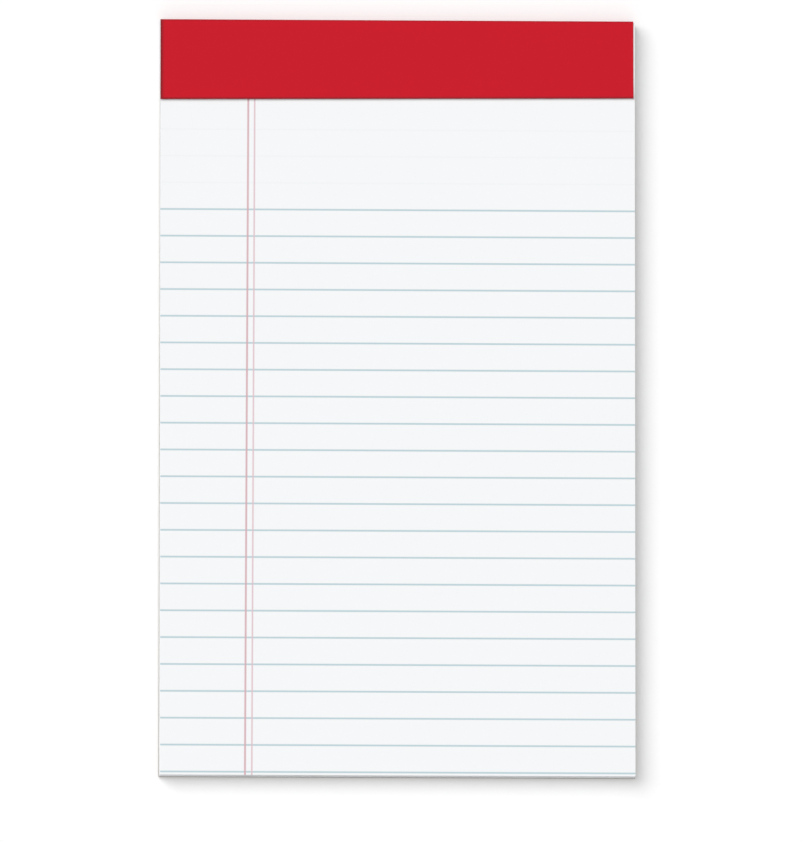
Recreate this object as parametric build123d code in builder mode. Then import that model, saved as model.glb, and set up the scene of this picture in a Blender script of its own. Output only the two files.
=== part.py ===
from build123d import *

import os
from math import atan2, degrees

# A taped writing pad. Millimetres, writing face up: +X to the right, +Y towards the bound head, +Z out of
# the writing face. The origin is under the middle of the pad, on the surface that it lies on.

# Leaves and board
sheet_width = 127.0
sheet_length = 203.2
sheet_count = 50
sheet_caliper = 0.09
board_thickness = 0.76

# Perforation: one row of slits across every leaf, hidden under the tape's free edge
perforation_cover = 1.0  # how far the tape's front flap reaches past it, at least
slit_length = 1.5
slit_width = 0.18
slit_tie = 0.6  # paper left between two slits

# Binding tape, folded over the head
tape_thickness = 0.2
tape_right_inset = 0.4  # the tape is slit a little narrow and laid flush with the left edge
front_flap_left = 21.4  # depth of the front flap at its left end
front_flap_right = 20.6  # and at its right end
back_flap = 20.0
fold_radius = 0.15  # inside of both folds
lip_reach = 8.0  # the unglued lip of the front flap
lip_rise = 0.45

# Wire stitches
wire_radius = 0.25
wire_clearance = 0.03
stitch_crown = 12.7  # between the middles of the two legs
stitch_bend = 0.6  # on the middle of the wire
stitch_clinch = 4.5  # how far each leg turns in along the board
stitch_drop = 8.5  # from the head edge
stitch_spacing = 64.0

# The levels of the stack, from the surface that the pad lies on
board_bottom = tape_thickness
board_top = board_bottom + board_thickness
pages_thickness = sheet_count * sheet_caliper
pages_top = board_top + pages_thickness

# The spine stands off the head edge by the inside of its folds, and the whole length is centred.
spine_reach = fold_radius + tape_thickness
head_edge = (sheet_length - spine_reach) / 2
foot_edge = head_edge - sheet_length
sheet_middle = head_edge - sheet_length / 2

stitch_y = head_edge - stitch_drop
stitch_places = (-stitch_spacing / 2, stitch_spacing / 2)
wire_upper = pages_top - wire_radius - wire_clearance
wire_lower = board_bottom + wire_radius + wire_clearance


def stitch_corners(x_middle, tip_extra):
    """Corners of one stitch's middle line: tip, leg, crown, leg, tip."""
    x_leg = stitch_crown / 2
    x_tip = x_leg - stitch_clinch - tip_extra
    return [
        (x_middle - x_tip, wire_lower),
        (x_middle - x_leg, wire_lower),
        (x_middle - x_leg, wire_upper),
        (x_middle + x_leg, wire_upper),
        (x_middle + x_leg, wire_lower),
        (x_middle + x_tip, wire_lower),
    ]


def wire_stitches(radius, tip_extra):
    """Every stitch as a round wire of this radius, its tips longer by tip_extra."""
    with BuildPart() as wires:
        for x_middle in stitch_places:
            with BuildLine(Plane.XZ.offset(-stitch_y)) as path:
                FilletPolyline(*stitch_corners(x_middle, tip_extra), radius=stitch_bend)
            with BuildSketch(Plane(origin=path.line @ 0, z_dir=path.line % 0)):
                Circle(radius)
            sweep(path=path.line)
    return wires.part


# The bed of the wire in leaves and board, and the width of the grooves that let it in from outside:
# a little narrower than the bed, so that the paper's edge closes over the wire.
wire_bed = wire_stitches(wire_radius + wire_clearance, wire_clearance)
groove_width = 2 * wire_radius + wire_clearance


# Leaves: a square-cut block with the perforation and the pressed-in beds of the wire
slit_pitch = slit_length + slit_tie
slit_count = int((sheet_width - slit_tie) / slit_pitch)
perforation_y = head_edge - min(front_flap_left, front_flap_right) + perforation_cover

with BuildPart() as pages:
    with BuildSketch(Plane.XY.offset(board_top)):
        with Locations((0, sheet_middle)):
            Rectangle(sheet_width, sheet_length)
    extrude(amount=pages_thickness)

    with BuildSketch(Plane.XY.offset(board_top)):
        with Locations((0, perforation_y)):
            with GridLocations(slit_pitch, slit_width, slit_count, 1):
                Rectangle(slit_length, slit_width)
    extrude(amount=pages_thickness, mode=Mode.SUBTRACT)

    add(wire_bed, mode=Mode.SUBTRACT)
    with BuildSketch(Plane.XY.offset(wire_upper)):
        for x_middle in stitch_places:
            with Locations((x_middle, stitch_y)):
                SlotOverall(stitch_crown + groove_width, groove_width)
    extrude(amount=pages_top - wire_upper, mode=Mode.SUBTRACT)
pages.part.label = "pages"


# Board: trimmed with the leaves, with a groove under each turned-in leg
clinch_groove = stitch_clinch + wire_clearance + groove_width
clinch_middle = (stitch_crown - stitch_clinch - wire_clearance) / 2

with BuildPart() as backing_board:
    with BuildSketch(Plane.XY.offset(board_bottom)):
        with Locations((0, sheet_middle)):
            Rectangle(sheet_width, sheet_length)
    extrude(amount=board_thickness)

    add(wire_bed, mode=Mode.SUBTRACT)
    with BuildSketch(Plane.XY.offset(board_bottom)):
        for x_middle in stitch_places:
            for side in (-1, 1):
                with Locations((x_middle + side * clinch_middle, stitch_y)):
                    SlotOverall(clinch_groove, groove_width)
    extrude(amount=wire_lower - board_bottom, mode=Mode.SUBTRACT)
backing_board.part.label = "backing_board"


# Tape: back flap, spine and front flap of one strip, with the free lip lifting in one soft curve
lip_radius = (lip_reach**2 + lip_rise**2) / (2 * lip_rise)
lip_angle = degrees(2 * atan2(lip_rise, lip_reach))
front_flap_longest = max(front_flap_left, front_flap_right)
tape_width = sheet_width - tape_right_inset
tape_left = -sheet_width / 2
lip_start = head_edge - front_flap_longest + lip_reach

with BuildPart() as binding_tape:
    with BuildSketch(Plane.YZ.offset(tape_left)):
        with BuildLine():
            FilletPolyline(
                (head_edge - back_flap, board_bottom),
                (head_edge + fold_radius, board_bottom),
                (head_edge + fold_radius, pages_top),
                (lip_start, pages_top),
                radius=fold_radius,
            )
            JernArc((lip_start, pages_top), (-1, 0), lip_radius, -lip_angle)
            offset(amount=tape_thickness, side=Side.RIGHT)
        make_face()
    extrude(amount=tape_width)

    # The free edge of the front flap runs a little askew.
    with BuildSketch(Plane.XY.offset(pages_top)):
        Polygon(
            (tape_left, head_edge - front_flap_left),
            (tape_left + sheet_width, head_edge - front_flap_right),
            (tape_left + sheet_width, foot_edge),
            (tape_left, foot_edge),
            align=None,
        )
    extrude(amount=lip_rise + 2 * tape_thickness, mode=Mode.SUBTRACT)
binding_tape.part.label = "binding_tape"


# Stitches: both of them, as bent in the pad
with BuildPart() as staples:
    add(wire_stitches(wire_radius, 0))
staples.part.label = "staples"


os.makedirs("parts", exist_ok=True)
export_step(pages.part, "parts/pages.step")
export_step(backing_board.part, "parts/backing_board.step")
export_step(binding_tape.part, "parts/binding_tape.step")
export_step(staples.part, "parts/staples.step")
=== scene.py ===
"""A small ruled writing pad: fifty perforated leaves on a chipboard back, bound at the head in red tape.

Metres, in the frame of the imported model: +Y towards the bound head, +Z out of the writing face.
"""

import logging
import math
from dataclasses import dataclass, field
from enum import Enum

import bpy
import numpy as np
from mathutils import Matrix, Vector


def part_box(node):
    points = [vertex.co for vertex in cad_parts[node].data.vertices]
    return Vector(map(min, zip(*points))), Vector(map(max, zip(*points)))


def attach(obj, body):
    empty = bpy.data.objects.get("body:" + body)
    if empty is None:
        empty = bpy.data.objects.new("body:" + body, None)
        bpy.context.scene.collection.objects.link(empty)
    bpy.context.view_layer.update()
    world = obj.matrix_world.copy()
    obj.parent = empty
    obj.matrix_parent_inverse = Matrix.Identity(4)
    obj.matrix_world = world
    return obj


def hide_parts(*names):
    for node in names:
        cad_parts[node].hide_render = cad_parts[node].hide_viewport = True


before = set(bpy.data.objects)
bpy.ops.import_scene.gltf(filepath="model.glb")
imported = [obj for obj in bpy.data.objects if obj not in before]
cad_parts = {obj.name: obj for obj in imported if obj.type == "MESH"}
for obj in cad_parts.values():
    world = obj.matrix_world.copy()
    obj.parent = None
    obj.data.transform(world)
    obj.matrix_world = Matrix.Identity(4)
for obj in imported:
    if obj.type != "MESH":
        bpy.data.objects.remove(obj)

log = logging.getLogger("pad")

MM = 0.001
SEED = 17
WHITE = (1.0, 1.0, 1.0)

Colour = tuple[float, float, float]
Value = bpy.types.NodeSocket | float
Paint = bpy.types.NodeSocket | Colour


def colour4(rgb: Colour) -> tuple[float, float, float, float]:
    """Linear colour with a full alpha."""
    return (*rgb, 1.0)


# ---------------------------------------------------------------- surfaces


@dataclass(frozen=True)
class CutSheet:
    """A thin sheet on a grid of lines, with some of its cells cut out.

    The sheet has a lower and an upper surface over the same grid, and a wall wherever a kept cell meets a
    cut one or the outside, so it is always one closed shell.
    """

    x_lines: np.ndarray
    y_lines: np.ndarray
    kept: np.ndarray

    def faces(self) -> np.ndarray:
        """Work out the sheet's quads, all facing outwards.

        Where the count of kept cells steps down across a grid line the wall faces along the axis, and where
        it steps up the wall is turned round.

        Returns:
            Corner numbers, four to a row. Lower corners come first, x slowest, then the upper ones.
        """
        nx, ny = len(self.x_lines), len(self.y_lines)
        lower = np.arange(nx * ny).reshape(nx, ny)
        upper = lower + nx * ny
        kept = self.kept.astype(int)

        i, j = np.nonzero(kept)
        top = np.stack([upper[i, j], upper[i + 1, j], upper[i + 1, j + 1], upper[i, j + 1]], 1)
        bottom = np.stack([lower[i, j], lower[i, j + 1], lower[i + 1, j + 1], lower[i + 1, j]], 1)

        padded = np.pad(kept, ((1, 1), (0, 0)))
        step = padded[:-1] - padded[1:]
        i, j = np.nonzero(step)
        across = np.stack([lower[i, j], lower[i, j + 1], upper[i, j + 1], upper[i, j]], 1)
        across = np.where((step[i, j] > 0)[:, None], across, across[:, ::-1])

        padded = np.pad(kept, ((0, 0), (1, 1)))
        step = padded[:, :-1] - padded[:, 1:]
        i, j = np.nonzero(step)
        along = np.stack([lower[i + 1, j], lower[i, j], upper[i, j], upper[i + 1, j]], 1)
        along = np.where((step[i, j] > 0)[:, None], along, along[:, ::-1])
        return np.concatenate([top, bottom, across, along])


def make_piece(name: str, points: np.ndarray, quads: np.ndarray) -> bpy.types.Object:
    """Put a surface into a new object at the origin, leaving out corners that no face uses.

    Args:
        name: The piece's name.
        points: Corners, three numbers to a row.
        quads: Corner numbers, four to a row.

    Returns:
        The linked object.
    """
    used, packed = np.unique(quads, return_inverse=True)
    mesh = bpy.data.meshes.new(name)
    mesh.from_pydata(points[used].tolist(), [], packed.reshape(-1, 4).tolist())
    mesh.update()
    piece = bpy.data.objects.new(name, mesh)
    bpy.context.scene.collection.objects.link(piece)
    return piece


# ---------------------------------------------------------------- shared effects


class Effect(Enum):
    """Effects that the finishes share, each a node group."""

    GRAIN = "fibre_grain"
    RULING = "ruled_lines"
    NEAR_EDGE = "near_edge"


def add_math(tree: bpy.types.NodeTree, operation: str, *values: Value) -> bpy.types.NodeSocket:
    """Add a Math node.

    Args:
        tree: The tree it goes into.
        operation: Its operation.
        values: A number or an output socket for each input.

    Returns:
        Its output socket.
    """
    node = tree.nodes.new("ShaderNodeMath")
    node.operation = operation
    for place, value in enumerate(values):
        if isinstance(value, (int, float)):
            node.inputs[place].default_value = value
        else:
            tree.links.new(value, node.inputs[place])
    return node.outputs[0]


def fade_out(tree: bpy.types.NodeTree, value: Value, start: float, end: float) -> bpy.types.NodeSocket:
    """Add a smooth step down from 1 to 0.

    Args:
        tree: The tree it goes into.
        value: What is compared with the two ends.
        start: Where the step leaves 1.
        end: Where it reaches 0.

    Returns:
        The step's output socket.
    """
    node = tree.nodes.new("ShaderNodeMapRange")
    node.interpolation_type = "SMOOTHSTEP"
    tree.links.new(value, node.inputs["Value"])
    node.inputs["From Min"].default_value = start
    node.inputs["From Max"].default_value = end
    node.inputs["To Min"].default_value = 1.0
    node.inputs["To Max"].default_value = 0.0
    return node.outputs["Result"]


class Groups:
    """Builds each shared effect once, for the finishes to place."""

    def __init__(self) -> None:
        """Build the node groups."""
        self.trees = {
            Effect.GRAIN: self.grain(),
            Effect.RULING: self.ruling(),
            Effect.NEAR_EDGE: self.near_edge(),
        }

    @staticmethod
    def start(effect: Effect, inputs: dict[str, float | None], outputs: tuple[str, ...]) -> tuple:
        """Start a group with its named sockets.

        Args:
            effect: Which effect it is.
            inputs: The default of each input by name, or None for a vector.
            outputs: Names of its outputs, all of them numbers.

        Returns:
            The group's tree, its entry's sockets and its exit's sockets.
        """
        tree = bpy.data.node_groups.new(effect.value, "ShaderNodeTree")
        for name, value in inputs.items():
            kind = "NodeSocketVector" if value is None else "NodeSocketFloat"
            made = tree.interface.new_socket(name=name, in_out="INPUT", socket_type=kind)
            if value is not None:
                made.default_value = value
        for name in outputs:
            tree.interface.new_socket(name=name, in_out="OUTPUT", socket_type="NodeSocketFloat")
        entry = tree.nodes.new("NodeGroupInput").outputs
        leave = tree.nodes.new("NodeGroupOutput").inputs
        return tree, entry, leave

    def grain(self) -> bpy.types.NodeTree:
        """Build the fibre grain: fine noise for the relief and a slow cloud for the tone, both about 0.5.

        Returns:
            The group.
        """
        scales = {"Vector": None, "Fibre scale": 4000.0, "Cloud scale": 30.0}
        tree, entry, leave = self.start(Effect.GRAIN, scales, ("Height", "Cloud"))
        for output, scale, detail in (("Height", "Fibre scale", 4.0), ("Cloud", "Cloud scale", 2.0)):
            noise = tree.nodes.new("ShaderNodeTexNoise")
            noise.inputs["Detail"].default_value = detail
            tree.links.new(entry["Vector"], noise.inputs["Vector"])
            tree.links.new(entry[scale], noise.inputs["Scale"])
            tree.links.new(noise.outputs["Fac"], leave[output])
        return tree

    def ruling(self) -> bpy.types.NodeTree:
        """Build the printed lines: the distance to the nearest of Count lines, Pitch apart, in a soft step.

        The lines lean by Skew along the other axis. The ink fades between 0.3 and 0.7 of a line's width off
        its middle.

        Returns:
            The group.
        """
        sizes = {"Across": 0.0, "Along": 0.0, "First": 0.0, "Pitch": 1.0, "Count": 1.0, "Skew": 0.0}
        tree, entry, leave = self.start(Effect.RULING, {**sizes, "Width": MM}, ("Mask",))
        lean = add_math(tree, "MULTIPLY", entry["Along"], entry["Skew"])
        level = add_math(tree, "SUBTRACT", entry["Across"], lean)
        level = add_math(tree, "SUBTRACT", level, entry["First"])
        number = add_math(tree, "DIVIDE", level, entry["Pitch"])
        last = add_math(tree, "SUBTRACT", entry["Count"], 1.0)
        nearest = add_math(tree, "MAXIMUM", add_math(tree, "ROUND", number), 0.0)
        nearest = add_math(tree, "MINIMUM", nearest, last)
        off = add_math(tree, "ABSOLUTE", add_math(tree, "SUBTRACT", number, nearest))
        off = add_math(tree, "MULTIPLY", off, entry["Pitch"])
        ratio = add_math(tree, "DIVIDE", off, entry["Width"])
        tree.links.new(fade_out(tree, ratio, 0.3, 0.7), leave["Mask"])
        return tree

    def near_edge(self) -> bpy.types.NodeTree:
        """Build the closeness to a straight, leaning edge: 1 on it, falling smoothly to 0 at Reach from it.

        Returns:
            The group.
        """
        sizes = {"Place": 0.0, "Along": 0.0, "Edge": 0.0, "Skew": 0.0, "Reach": MM}
        tree, entry, leave = self.start(Effect.NEAR_EDGE, sizes, ("Mask",))
        lean = add_math(tree, "MULTIPLY", entry["Along"], entry["Skew"])
        off = add_math(tree, "SUBTRACT", add_math(tree, "SUBTRACT", entry["Place"], lean), entry["Edge"])
        ratio = add_math(tree, "DIVIDE", add_math(tree, "ABSOLUTE", off), entry["Reach"])
        tree.links.new(fade_out(tree, ratio, 0.0, 1.0), leave["Mask"])
        return tree


@dataclass(frozen=True)
class Grain:
    """A fibre grain: the scales of its fibres and of its tone, per metre, and the depth of its relief."""

    fibre: float
    cloud: float
    relief: float
    strength: float = 0.35


class Coat:
    """A material being mixed: a Principled surface with the shared effects on Object coordinates."""

    def __init__(
        self, groups: Groups, name: str, roughness: float, specular: float, grain: Grain | None = None
    ) -> None:
        """Start a material, with a grain if it has one.

        Args:
            groups: The shared effects.
            name: The material's name.
            roughness: Roughness of the surface.
            specular: Strength of its plain reflection.
            grain: Its fibre grain, which also gives its relief.
        """
        self.groups = groups
        self.material = bpy.data.materials.new(name)
        self.material.use_nodes = True
        self.tree = self.material.node_tree
        self.shader = self.tree.nodes["Principled BSDF"]
        self.shader.inputs["Roughness"].default_value = roughness
        self.shader.inputs["Specular IOR Level"].default_value = specular
        place = self.tree.nodes.new("ShaderNodeTexCoord").outputs["Object"]
        parts = self.tree.nodes.new("ShaderNodeSeparateXYZ")
        self.tree.links.new(place, parts.inputs[0])
        self.x, self.y = parts.outputs["X"], parts.outputs["Y"]
        if grain is not None:
            node = self.effect(Effect.GRAIN, Vector=place, Fibre_scale=grain.fibre, Cloud_scale=grain.cloud)
            self.fibre, self.cloud = node.outputs["Height"], node.outputs["Cloud"]
            bump = self.tree.nodes.new("ShaderNodeBump")
            bump.inputs["Strength"].default_value = grain.strength
            bump.inputs["Distance"].default_value = grain.relief
            self.tree.links.new(self.fibre, bump.inputs["Height"])
            self.tree.links.new(bump.outputs["Normal"], self.shader.inputs["Normal"])

    def effect(self, effect: Effect, **values: Value) -> bpy.types.Node:
        """Place a shared effect.

        Args:
            effect: Which one.
            values: Its inputs, each a number or an output socket, with _ for a space in a name.

        Returns:
            The group node.
        """
        node = self.tree.nodes.new("ShaderNodeGroup")
        node.node_tree = self.groups.trees[effect]
        for name, value in values.items():
            entry = node.inputs[name.replace("_", " ")]
            if isinstance(value, (int, float)):
                entry.default_value = value
            else:
                self.tree.links.new(value, entry)
        return node

    def mask(self, effect: Effect, **values: Value) -> bpy.types.NodeSocket:
        """Place a shared effect and take its mask."""
        return self.effect(effect, **values).outputs["Mask"]

    def tint(self, base: Paint, over: Colour, mask: Value, strength: float) -> bpy.types.NodeSocket:
        """Lay a colour over another where a mask is.

        Args:
            base: Colour or colour socket beneath.
            over: Colour on top.
            mask: Socket of the mask, 0 to 1.
            strength: How much of the top colour a full mask gives.

        Returns:
            The mixed colour's socket.
        """
        mix = self.tree.nodes.new("ShaderNodeMix")
        mix.data_type = "RGBA"
        self.tree.links.new(add_math(self.tree, "MULTIPLY", mask, strength), mix.inputs["Factor"])
        if isinstance(base, tuple):
            mix.inputs["A"].default_value = colour4(base)
        else:
            self.tree.links.new(base, mix.inputs["A"])
        mix.inputs["B"].default_value = colour4(over)
        return mix.outputs["Result"]

    def paint(self, colour: Paint) -> bpy.types.Material:
        """Give the surface its colour.

        Args:
            colour: Colour or colour socket.

        Returns:
            The finished material.
        """
        if isinstance(colour, tuple):
            self.shader.inputs["Base Color"].default_value = colour4(colour)
        else:
            self.tree.links.new(colour, self.shader.inputs["Base Color"])
        return self.material


# ---------------------------------------------------------------- finishes


@dataclass(frozen=True)
class MarginLine:
    """One printed margin line: its place from the left edge at mid height, its lean, width and ink."""

    from_left: float
    skew: float
    width: float
    ink: Colour


@dataclass(frozen=True)
class WritingPaper:
    """White uncoated writing paper, plain or ruled in pale blue with a double pale red margin."""

    white: Colour = (0.927, 0.938, 0.948)
    shade: Colour = (0.86, 0.87, 0.885)
    roughness: float = 0.85
    specular: float = 0.2
    face_grain: Grain = Grain(5000.0, 25.0, 0.015 * MM)
    edge_grain: Grain = Grain(5000.0, 60.0, 0.02 * MM)
    face_shading: float = 0.12
    edge_shading: float = 0.5
    rule_ink: Colour = (0.51, 0.65, 0.69)
    rule_count: int = 22
    first_rule: float = 51.04 * MM
    rule_pitch: float = 7.207 * MM
    rule_skew: float = -0.0004
    rule_width: float = 0.46 * MM
    ghost_count: int = 3
    ghost_ink: float = 0.06
    margin_ink: float = 0.9
    outer_margin: MarginLine = MarginLine(23.27 * MM, 0.0033, 0.5 * MM, (0.67, 0.41, 0.45))
    inner_margin: MarginLine = MarginLine(25.03 * MM, 0.0027, 0.4 * MM, (0.74, 0.53, 0.58))

    def plain(self, groups: Groups) -> bpy.types.Material:
        """Mix the paper of the lower leaves, whose cut edges show.

        Args:
            groups: The shared effects.

        Returns:
            The material.
        """
        coat = Coat(groups, "leaf_paper", self.roughness, self.specular, self.edge_grain)
        return coat.paint(coat.tint(self.white, self.shade, coat.fibre, self.edge_shading))

    def ruled(self, groups: Groups, low: Vector, high: Vector) -> bpy.types.Material:
        """Mix the printed writing face.

        The rules count up from the foot. Above the first of them, where the heading goes, the same ink shows
        through very faintly from the other side at three more places.

        Args:
            groups: The shared effects.
            low: Lowest corner of the leaves.
            high: Highest corner of the leaves.

        Returns:
            The material.
        """
        coat = Coat(groups, "ruled_paper", self.roughness, self.specular, self.face_grain)
        colour = coat.tint(self.white, self.shade, coat.cloud, self.face_shading)
        highest = high.y - self.first_rule
        lowest = highest - (self.rule_count - 1) * self.rule_pitch
        for first, count, ink in (
            (lowest, self.rule_count, 1.0),
            (highest + self.rule_pitch, self.ghost_count, self.ghost_ink),
        ):
            lines = coat.mask(
                Effect.RULING,
                Across=coat.y,
                Along=coat.x,
                First=first,
                Count=count,
                Pitch=self.rule_pitch,
                Skew=self.rule_skew,
                Width=self.rule_width,
            )
            colour = coat.tint(colour, self.rule_ink, lines, ink)
        middle = (low.y + high.y) / 2
        for line in (self.outer_margin, self.inner_margin):
            drawn = coat.mask(
                Effect.RULING,
                Across=coat.x,
                Along=coat.y,
                First=low.x + line.from_left - line.skew * middle,
                Skew=line.skew,
                Width=line.width,
            )
            colour = coat.tint(colour, line.ink, drawn, self.margin_ink)
        return coat.paint(colour)


@dataclass(frozen=True)
class RedTape:
    """Satin red coated binding paper, with painted shade darkening it along its fold and its cut edges."""

    red: Colour = (0.60, 0.0110, 0.0235)
    deep: Colour = (0.54, 0.0095, 0.021)
    # A dark red, painted as shade along the fold, the left end and the lip's free edge.
    painted_shade: Colour = (0.25, 0.018, 0.024)
    roughness: float = 0.6
    specular: float = 0.06
    grain: Grain = Grain(3000.0, 90.0, 0.03 * MM)
    shading: float = 0.3
    # How far and how strongly the painted shade reaches at the fold, the left end and the lip's free edge.
    fold_reach: float = 0.6 * MM
    fold_shade: float = 0.5
    end_reach: float = 1.2 * MM
    end_shade: float = 1.0
    lip_reach: float = 0.8 * MM
    lip_shade: float = 0.9

    def material(
        self, groups: Groups, spine: float, left: float, lip: float, lip_skew: float
    ) -> bpy.types.Material:
        """Mix the tape's material, with painted shade along its fold, its left end and its lip's free edge.

        Args:
            groups: The shared effects.
            spine: Y of the spine.
            left: X of the left end.
            lip: Y of the front flap's free edge where x is 0.
            lip_skew: That edge's rise along X.

        Returns:
            The material.
        """
        coat = Coat(groups, "red_tape", self.roughness, self.specular, self.grain)
        colour = coat.tint(self.red, self.deep, coat.cloud, self.shading)
        # Painted shade: the red darkens towards the fold over the head, the left end and the lip's free
        # edge.
        fold = coat.mask(Effect.NEAR_EDGE, Place=coat.y, Edge=spine, Reach=self.fold_reach)
        colour = coat.tint(colour, self.painted_shade, fold, self.fold_shade)
        end = coat.mask(Effect.NEAR_EDGE, Place=coat.x, Edge=left, Reach=self.end_reach)
        colour = coat.tint(colour, self.painted_shade, end, self.end_shade)
        free = coat.mask(
            Effect.NEAR_EDGE, Place=coat.y, Along=coat.x, Edge=lip, Skew=lip_skew, Reach=self.lip_reach
        )
        return coat.paint(coat.tint(colour, self.painted_shade, free, self.lip_shade))


@dataclass(frozen=True)
class Chipboard:
    """Uncoated grey-brown chipboard with darker and paler fibre flecks."""

    board: Colour = (0.30, 0.26, 0.21)
    dark: Colour = (0.17, 0.14, 0.11)
    pale: Colour = (0.45, 0.41, 0.35)
    roughness: float = 0.9
    specular: float = 0.15
    grain: Grain = Grain(1500.0, 400.0, 0.06 * MM)
    paling: float = 0.3
    fleck_start: float = 0.58
    fleck_full: float = 0.72
    fleck_strength: float = 0.8

    def material(self, groups: Groups) -> bpy.types.Material:
        """Mix the board's material, with dark flecks where the fibre noise is highest.

        Args:
            groups: The shared effects.

        Returns:
            The material.
        """
        coat = Coat(groups, "chipboard", self.roughness, self.specular, self.grain)
        flecks = coat.tree.nodes.new("ShaderNodeMapRange")
        flecks.inputs["From Min"].default_value = self.fleck_start
        flecks.inputs["From Max"].default_value = self.fleck_full
        coat.tree.links.new(coat.fibre, flecks.inputs["Value"])
        colour = coat.tint(self.board, self.pale, coat.cloud, self.paling)
        return coat.paint(coat.tint(colour, self.dark, flecks.outputs["Result"], self.fleck_strength))


@dataclass(frozen=True)
class StitchWire:
    """Bright galvanised stitching wire."""

    steel: Colour = (0.62, 0.62, 0.63)
    roughness: float = 0.32
    specular: float = 0.5

    def material(self, groups: Groups) -> bpy.types.Material:
        """Mix the wire's material.

        Args:
            groups: The shared effects.

        Returns:
            The material.
        """
        coat = Coat(groups, "stitch_wire", self.roughness, self.specular)
        coat.shader.inputs["Metallic"].default_value = 1.0
        return coat.paint(self.steel)


# ---------------------------------------------------------------- the pad's pieces


@dataclass
class Leaves:
    """The block of leaves: a ruled top leaf on a stack of separate lower ones."""

    groups: Groups
    count: int = 50
    thickness: float = 0.086 * MM
    slit: float = 1.5 * MM
    slit_width: float = 0.18 * MM
    slit_pitch: float = 2.1 * MM
    slit_count: int = 60
    slit_from_head: float = 19.6 * MM
    stitch_from_head: float = 8.5 * MM
    stitch_places: tuple[float, float] = (-32.0 * MM, 32.0 * MM)
    stitch_leg: float = 6.35 * MM
    wire_bed: float = 0.28 * MM
    bend_bed: float = 0.95 * MM
    crown_leaves: int = 7
    bend_leaves: int = 7
    shear: float = 0.2 * MM
    board_shows: float = 0.14 * MM
    jog: float = 0.03 * MM
    low: Vector = field(init=False)
    high: Vector = field(init=False)

    def __post_init__(self) -> None:
        """Read the block's place from the frame."""
        self.low, self.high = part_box("pages")

    def pattern(self, inward: float) -> CutSheet:
        """Lay out one leaf with its perforation slits and the holes of the wire.

        Each leg of a stitch has a hole from one bed outside its middle to some way inside it. Where that
        reaches the stitch's middle, the two holes are one slot for the crown.

        Args:
            inward: How far each hole reaches from its leg towards the stitch's middle.

        Returns:
            The leaf, with those cells cut out.
        """
        slits = (np.arange(self.slit_count) - (self.slit_count - 1) / 2) * self.slit_pitch
        legs = np.add.outer(self.stitch_places, (-self.stitch_leg, self.stitch_leg)).ravel()
        to_middle = np.tile((1.0, -1.0), len(self.stitch_places))
        hole_ends = np.sort(np.stack([legs - to_middle * self.wire_bed, legs + to_middle * inward]), 0)
        ends = [[self.low.x, self.high.x], slits - self.slit / 2, slits + self.slit / 2, hole_ends.ravel()]
        x = np.unique(np.round(np.concatenate(ends), 9))
        slit_y = self.high.y - self.slit_from_head
        wire_y = self.high.y - self.stitch_from_head
        slit_sides = [slit_y - self.slit_width / 2, slit_y + self.slit_width / 2]
        y = np.array([self.low.y, *slit_sides, wire_y - self.wire_bed, wire_y + self.wire_bed, self.high.y])
        middles = (x[:-1] + x[1:])[:, None] / 2
        in_slit = (np.abs(middles - slits) < self.slit / 2).any(1)
        in_hole = ((middles > hole_ends[0]) & (middles < hole_ends[1])).any(1)
        kept = np.ones((len(x) - 1, len(y) - 1), bool)
        kept[in_slit, 1] = False
        kept[in_hole, 3] = False
        return CutSheet(x, y, kept)

    def surface(self, sheet: CutSheet, levels: np.ndarray) -> tuple[np.ndarray, np.ndarray]:
        """Place copies of a leaf at their levels in the stack.

        The stack leans a little. Towards the foot each leaf's left edge stands in from the board's by a
        strip and by its share of the shear, and its right edge by the rest of the shear. Each leaf is jogged
        a hair short.

        Args:
            sheet: The leaf.
            levels: Number of each leaf, 0 next to the board.

        Returns:
            Corners and quads of all the leaves.
        """
        rng = np.random.default_rng(SEED)
        short = rng.uniform(0, self.jog, self.count)[levels][:, None, None, None]
        side = rng.uniform(0, self.jog, self.count)[levels][:, None, None, None]
        pitch = (self.high.z - self.low.z) / self.count
        faces = np.array([pitch - self.thickness, pitch])
        k, z, x, y = np.meshgrid(levels, faces, sheet.x_lines, sheet.y_lines, indexing="ij")
        to_foot = (self.high.y - y) / (self.high.y - self.low.y)
        from_left = (x - self.low.x) / (self.high.x - self.low.x)
        share = k / (self.count - 1)
        left_edge = self.board_shows + self.shear * share + side
        right_edge = self.shear * (1 - share) + side
        x = x + to_foot * (left_edge * (1 - from_left) - right_edge * from_left)
        y = y + to_foot * short
        points = np.stack([x, y, self.low.z + k * pitch + z], -1).reshape(-1, 3)
        first_corners = np.arange(len(levels)) * 2 * len(sheet.x_lines) * len(sheet.y_lines)
        quads = (sheet.faces()[None] + first_corners[:, None, None]).reshape(-1, 4)
        return points, quads

    def build(self, paper: WritingPaper) -> list[bpy.types.Object]:
        """Build the leaves and give them their paper.

        Args:
            paper: The paper's finish.

        Returns:
            The top leaf and the stack.
        """
        under_crown = self.count - self.crown_leaves
        under_bend = under_crown - self.bend_leaves
        crown_slot = self.pattern(self.stitch_leg)
        bend_holes = self.pattern(self.bend_bed)
        leg_holes = self.pattern(self.wire_bed)

        points, quads = self.surface(crown_slot, np.array([self.count - 1]))
        top = make_piece("top_leaf", points, quads)
        top.data.materials.append(paper.ruled(self.groups, self.low, self.high))

        all_points, all_quads, start = [], [], 0
        for sheet, lowest, above in (
            (crown_slot, under_crown, self.count - 1),
            (bend_holes, under_bend, under_crown),
            (leg_holes, 0, under_bend),
        ):
            points, quads = self.surface(sheet, np.arange(lowest, above))
            all_points.append(points)
            all_quads.append(quads + start)
            start += len(points)
        stack = make_piece("leaf_stack", np.concatenate(all_points), np.concatenate(all_quads))
        stack.data.materials.append(paper.plain(self.groups))

        for piece in (top, stack):
            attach(piece, "root")
            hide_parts("pages")
        return [top, stack]


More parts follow.
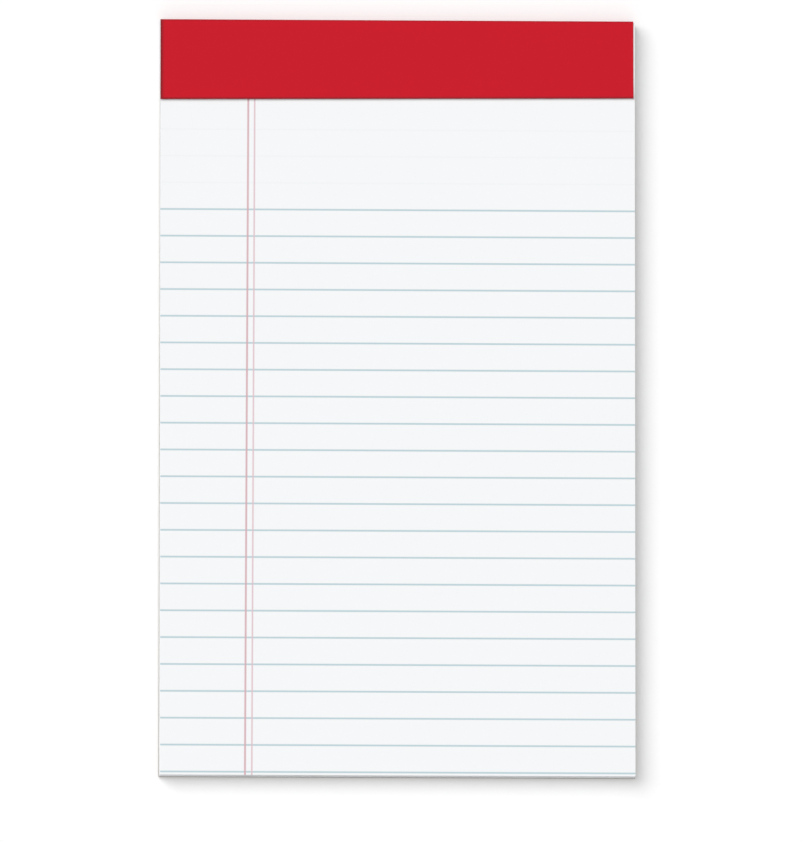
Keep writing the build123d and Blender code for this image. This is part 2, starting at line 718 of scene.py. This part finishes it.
@dataclass
class Binding:
    """The red tape, folded over the head, with the free lip of its front flap lifting."""

    groups: Groups
    thickness: float = 0.2 * MM
    fold_inside: float = 0.15 * MM
    flap_left: float = 21.4 * MM
    flap_right: float = 20.6 * MM
    back_flap: float = 20.0 * MM
    lip_reach: float = 8.0 * MM
    lip_rise: float = 0.45 * MM
    wave_depth: float = 0.05 * MM
    wave_count: float = 3.3
    wave_start: float = 1.9
    columns: int = 121
    steps: int = 24
    crease: float = math.radians(35)
    low: Vector = field(init=False)
    high: Vector = field(init=False)
    head: float = field(init=False)
    leaves_top: float = field(init=False)

    def __post_init__(self) -> None:
        """Read the places of the tape and of the leaves' head edge from the frame."""
        self.low, self.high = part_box("binding_tape")
        leaves_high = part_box("pages")[1]
        self.head, self.leaves_top = leaves_high.y, leaves_high.z

    @property
    def skew(self) -> float:
        """Rise of the lip's free edge along X."""
        return (self.flap_left - self.flap_right) / (2 * -self.low.x)

    def lip(self, along: np.ndarray, x: np.ndarray) -> tuple[np.ndarray, np.ndarray]:
        """Work out the underside of the lip.

        It is an arc that leaves the leaves tangentially: out from its start by d, it has lifted by the
        radius less the root of the radius squared less d squared. A slow wave along X takes a little off the
        lift, most at the free edge, and that edge runs askew.

        Args:
            along: Share of the tape's length at each grid line.
            x: X of each grid line.

        Returns:
            Y and z, a row to each grid line, from the free edge to the start of the lip.
        """
        longest = max(self.flap_left, self.flap_right)
        radius = (self.lip_reach**2 + self.lip_rise**2) / (2 * self.lip_rise)
        depth = self.flap_left - self.skew * (x - self.low.x)
        outward = np.linspace(1, 0, self.steps)
        out = (depth - (longest - self.lip_reach))[:, None] * outward
        wave = 0.5 + 0.5 * np.sin(along * 2 * math.pi * self.wave_count + self.wave_start)
        lift = radius - np.sqrt(radius**2 - out**2) - self.wave_depth * wave[:, None] * outward**2
        return self.head - longest + self.lip_reach - out, self.leaves_top + lift

    def folds(self, radius: float) -> tuple[np.ndarray, np.ndarray]:
        """Work out the path over the head: front flap, quarter circle, spine, quarter circle, back flap.

        Args:
            radius: Radius of both folds at this surface.

        Returns:
            Y and z along the path.
        """
        turn = np.linspace(0, math.pi / 2, self.steps)
        front = self.leaves_top - self.fold_inside
        back = self.low.z + self.fold_inside + self.thickness
        round_front = self.head + radius * np.sin(turn), front + radius * np.cos(turn)
        round_back = self.head + radius * np.cos(turn), back - radius * np.sin(turn)
        y = np.concatenate([round_front[0], round_back[0], [self.head - self.back_flap]])
        z = np.concatenate([round_front[1], round_back[1], [back - radius]])
        return y, z

    def surface(self) -> tuple[np.ndarray, CutSheet]:
        """Carry the tape's section along X, as an inner surface and an outer one a thickness off it.

        Returns:
            The corners, inner ones first, and the sheet that they lie on.
        """
        along = np.linspace(0, 1, self.columns)
        x = self.low.x + along * (self.high.x - self.low.x)
        lip_y, lip_z = self.lip(along, x)
        rows = np.ones((self.columns, 1))
        surfaces = []
        for radius, off in ((self.fold_inside, 0.0), (self.fold_inside + self.thickness, self.thickness)):
            fold_y, fold_z = self.folds(radius)
            y = np.hstack([lip_y, rows * fold_y])
            z = np.hstack([lip_z + off, rows * fold_z])
            surfaces.append(np.stack([np.broadcast_to(x[:, None], y.shape), y, z], -1))
        points = np.stack(surfaces)
        path = np.arange(points.shape[2])
        sheet = CutSheet(x, path, np.ones((self.columns - 1, len(path) - 1), bool))
        return points.reshape(-1, 3), sheet

    def build(self, finish: RedTape) -> bpy.types.Object:
        """Build the tape and dress it.

        Args:
            finish: Its red coated paper.

        Returns:
            The tape.
        """
        points, sheet = self.surface()
        piece = make_piece("tape", points, sheet.faces())
        piece.data.polygons.foreach_set("use_smooth", np.ones(len(piece.data.polygons), bool))
        piece.data.set_sharp_from_angle(angle=self.crease)
        lip = self.head - (self.flap_left + self.flap_right) / 2
        material = finish.material(self.groups, self.high.y, self.low.x, lip, self.skew)
        piece.data.materials.append(material)
        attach(piece, "root")
        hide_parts("binding_tape")
        return piece


@dataclass
class Backing:
    """The chipboard and the wire stitches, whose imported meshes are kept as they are."""

    groups: Groups

    def build(self, board: Chipboard, wire: StitchWire) -> list[bpy.types.Object]:
        """Dress the board and the stitches.

        Args:
            board: The board's finish.
            wire: The wire's finish.

        Returns:
            Both pieces.
        """
        dressed = []
        for node, slot, material in (
            ("backing_board", "board", board.material(self.groups)),
            ("staples", "wire", wire.material(self.groups)),
        ):
            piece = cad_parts[node]
            piece.data.materials.clear()
            piece.data.materials.append(material)
            dressed.append(piece)
        return dressed


# ---------------------------------------------------------------- the studio


@dataclass(frozen=True)
class Lamp:
    """A soft, even lamp: the direction towards it, its strength and the angle that it fills, in degrees."""

    name: str
    toward: tuple[float, float, float]
    strength: float
    spread: float

    def hang(self) -> bpy.types.Object:
        """Put the lamp into the scene.

        Returns:
            The lamp.
        """
        data = bpy.data.lights.new(self.name, "SUN")
        data.energy = self.strength
        data.angle = math.radians(self.spread)
        lamp = bpy.data.objects.new(self.name, data)
        lamp.rotation_mode = "QUATERNION"
        lamp.rotation_quaternion = Vector(self.toward).to_track_quat("Z", "Y")
        bpy.context.scene.collection.objects.link(lamp)
        return lamp


@dataclass
class Studio:
    """A plain white floor, a large soft key from the upper left, an overhead fill and a long lens."""

    floor_half: float = 3.0
    floor_tone: float = 0.86
    floor_lift: float = 0.16
    floor_roughness: float = 0.95
    key: Lamp = Lamp("key", (-0.66, 0.5, 0.95), 1.72, 50.0)
    overhead: Lamp = Lamp("overhead", (-0.05, -0.12, 1.0), 1.47, 110.0)
    world_strength: float = 0.12
    distance: float = 5.0
    tilt_side: float = -1.672
    tilt_foot: float = 7.807
    roll: float = 0.032
    target: tuple[float, float, float] = (1.2316 * MM, -5.7687 * MM, 0.06 * MM)
    lens: float = 800.0
    sensor: float = 36.0
    near: float = 0.1
    far: float = 20.0

    def floor_material(self) -> bpy.types.Material:
        """Mix a matt pale floor that seen directly, or by reflection, is lifted to white.

        Returns:
            The material.
        """
        material = bpy.data.materials.new("floor_paper")
        material.use_nodes = True
        tree = material.node_tree
        shader = tree.nodes["Principled BSDF"]
        shader.inputs["Base Color"].default_value = (self.floor_tone,) * 3 + (1.0,)
        shader.inputs["Roughness"].default_value = self.floor_roughness
        shader.inputs["Specular IOR Level"].default_value = 0.0
        rays = tree.nodes.new("ShaderNodeLightPath").outputs
        direct = add_math(tree, "MAXIMUM", rays["Is Camera Ray"], rays["Is Glossy Ray"])
        direct = add_math(tree, "MAXIMUM", direct, rays["Is Transmission Ray"])
        lift = tree.nodes.new("ShaderNodeEmission")
        lift.inputs["Color"].default_value = colour4(WHITE)
        tree.links.new(add_math(tree, "MULTIPLY", direct, self.floor_lift), lift.inputs["Strength"])
        both = tree.nodes.new("ShaderNodeAddShader")
        tree.links.new(shader.outputs[0], both.inputs[0])
        tree.links.new(lift.outputs[0], both.inputs[1])
        tree.links.new(both.outputs[0], tree.nodes["Material Output"].inputs["Surface"])
        return material

    def floor(self) -> bpy.types.Object:
        """Lay the floor, which keeps the pad's shadow.

        Returns:
            The floor.
        """
        side = np.array([-self.floor_half, self.floor_half])
        x, y = np.meshgrid(side, side)
        points = np.stack([x.ravel(), y.ravel(), np.zeros(x.size)], -1)
        piece = make_piece("floor", points, np.array([[0, 1, 3, 2]]))
        piece.data.materials.append(self.floor_material())
        return piece

    def camera(self) -> bpy.types.Object:
        """Stand a long lens almost straight above the pad, a little to its left and towards its foot.

        Returns:
            The camera.
        """
        side, foot = math.sin(math.radians(self.tilt_side)), -math.sin(math.radians(self.tilt_foot))
        back = Vector((side, foot, math.sqrt(1 - side**2 - foot**2)))
        right = Vector((0, 1, 0)).cross(back).normalized()
        up = back.cross(right)
        cosine, sine = math.cos(math.radians(self.roll)), math.sin(math.radians(self.roll))
        right, up = cosine * right + sine * up, cosine * up - sine * right
        data = bpy.data.cameras.new("long_lens")
        data.lens = self.lens
        data.sensor_width = self.sensor
        data.clip_start = self.near
        data.clip_end = self.far
        camera = bpy.data.objects.new("long_lens", data)
        turn = Matrix((right, up, back)).transposed().to_4x4()
        camera.matrix_world = Matrix.Translation(Vector(self.target) + back * self.distance) @ turn
        bpy.context.scene.collection.objects.link(camera)
        bpy.context.scene.camera = camera
        return camera

    def build(self) -> None:
        """Set up floor, lamps, world, camera and view."""
        self.floor()
        self.key.hang()
        self.overhead.hang()
        world = bpy.data.worlds.new("studio")
        world.use_nodes = True
        sky = world.node_tree.nodes["Background"]
        sky.inputs["Color"].default_value = colour4(WHITE)
        sky.inputs["Strength"].default_value = self.world_strength
        bpy.context.scene.world = world
        self.camera()
        bpy.context.scene.view_settings.view_transform = "Standard"


def main() -> None:
    """Build the pad's pieces in order, log their face counts and set up the studio."""
    logging.basicConfig(level=logging.INFO, format="%(name)s: %(message)s")
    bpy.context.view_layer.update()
    groups = Groups()
    pieces = Leaves(groups).build(WritingPaper())
    pieces.append(Binding(groups).build(RedTape()))
    pieces += Backing(groups).build(Chipboard(), StitchWire())
    for piece in pieces:
        log.info("%s: %d faces", piece.name, len(piece.data.polygons))
    Studio().build()
    log.info("sizes noted")


if __name__ == "__main__":
    main()
